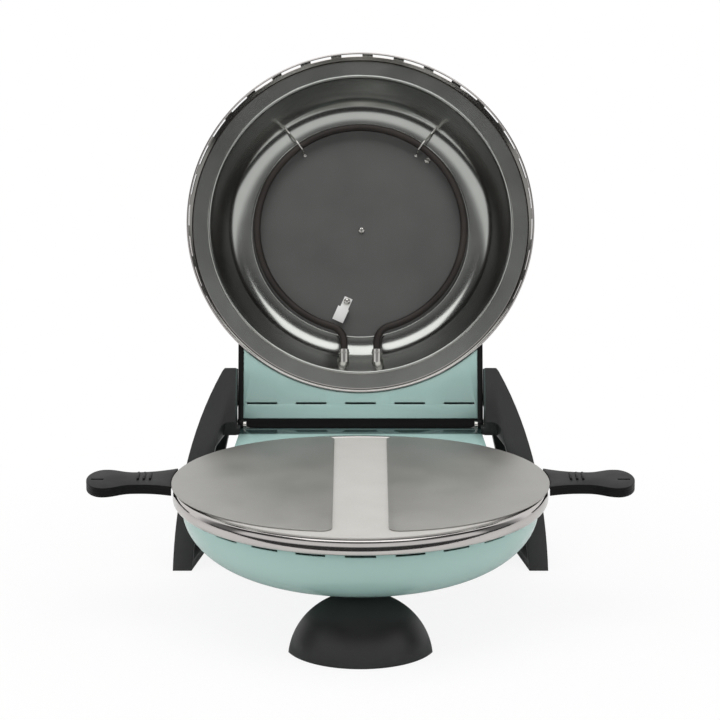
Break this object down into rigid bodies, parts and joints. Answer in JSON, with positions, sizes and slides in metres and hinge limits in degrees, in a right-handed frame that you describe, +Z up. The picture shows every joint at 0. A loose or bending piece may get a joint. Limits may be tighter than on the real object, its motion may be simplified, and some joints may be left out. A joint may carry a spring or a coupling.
{
  "type": "electric pizza maker",
  "caption": "Round countertop pizza oven with a hinged lid shown open, a baking stone, heaters above and below, and pizza peels lying on the stone.",
  "frame": {"origin": "centre of the baking stone's top face", "axes": "+Z up out of the stone, -Y towards the user at the front, +X to the right as seen from the front"},
  "size_m": [0.4844, 0.5935, 0.4451],
  "materials": {
    "mint_enamel": "smooth satin enamel on pressed steel",
    "polished_band": "mirror-polished steel",
    "stone": "fine matt refractory ceramic",
    "reflector_steel": "satin rolled steel",
    "dark_plate": "matt heat-resistant coating",
    "heater_tube": "dull oxidised sheath",
    "bright_steel": "bright plated steel",
    "service_steel": "grey coated sheet",
    "black_plastic": "fine-grained moulding",
    "gloss_black": "glossy moulding",
    "black_enamel": "glossy black enamel",
    "rubber": "matt rubber",
    "ceramic_block": "unglazed ceramic",
    "amber_lens": "clear tinted lens",
    "peel_steel": "satin rolled sheet",
    "thermostat_case": "pressed ceramic and steel case"
  },
  "bodies": {
    "base": {"base_shell": "mint_enamel", "rear_box": "mint_enamel", "base_service_cover": "service_steel", "base_rim": "polished_band", "baking_stone": "stone", "lower_reflector": "reflector_steel", "reflector_posts": "bright_steel", "lower_element": "heater_tube", "lower_ferrules": "bright_steel", "lower_element_clips": "bright_steel", "terminal_block": "ceramic_block", "cord_gland": "black_plastic", "front_foot": "black_plastic", "front_foot_pad": "rubber", "left_leg": "black_plastic", "right_leg": "black_plastic", "leg_pads": "rubber", "leg_screws": "bright_steel", "base_screws": "bright_steel", "hinge_pins": "bright_steel"},
    "lid": {"lid_shell": "mint_enamel", "lid_band": "polished_band", "lid_rear_cover": "mint_enamel", "lid_vent_panel": "mint_enamel", "lid_hinge_frame": "black_enamel", "lid_reflector": "reflector_steel", "reflector_plate": "dark_plate", "reflector_stud": "bright_steel", "reflector_screws": "bright_steel", "upper_element": "heater_tube", "upper_ferrules": "bright_steel", "element_clips": "bright_steel", "sensor_clip": "bright_steel", "frame_screws": "bright_steel", "control_housing": "gloss_black", "lid_handle": "black_plastic", "thermostat_body": "thermostat_case", "pilot_lens": "amber_lens"},
    "knob": {"thermostat_knob": "black_plastic"},
    "peel_left": {"left_peel_sheet": "peel_steel", "left_peel_handle": "gloss_black", "left_peel_rivets": "bright_steel"},
    "peel_right": {"right_peel_sheet": "peel_steel", "right_peel_handle": "gloss_black", "right_peel_rivets": "bright_steel"}
  },
  "joints": [
    {"name": "lid_hinge", "type": "hinge", "parent": "base", "child": "lid", "pos_m": [0, 0.195, 0], "axis": [1, 0, 0], "range_deg": [0, 114.67]},
    {"name": "knob_turn", "type": "hinge", "parent": "lid", "child": "knob", "pos_m": [0, 0.4069, 0.2426], "axis": [0, 0.9087, -0.4174], "range_deg": [0, 270]},
    {"name": "peel_left_slide", "type": "slide", "parent": "base", "child": "peel_left", "axis": [-0.9903, -0.1392, 0], "range_m": [0, 0.16]},
    {"name": "peel_right_slide", "type": "slide", "parent": "base", "child": "peel_right", "axis": [0.9903, -0.1392, 0], "range_m": [0, 0.16]}
  ]
}
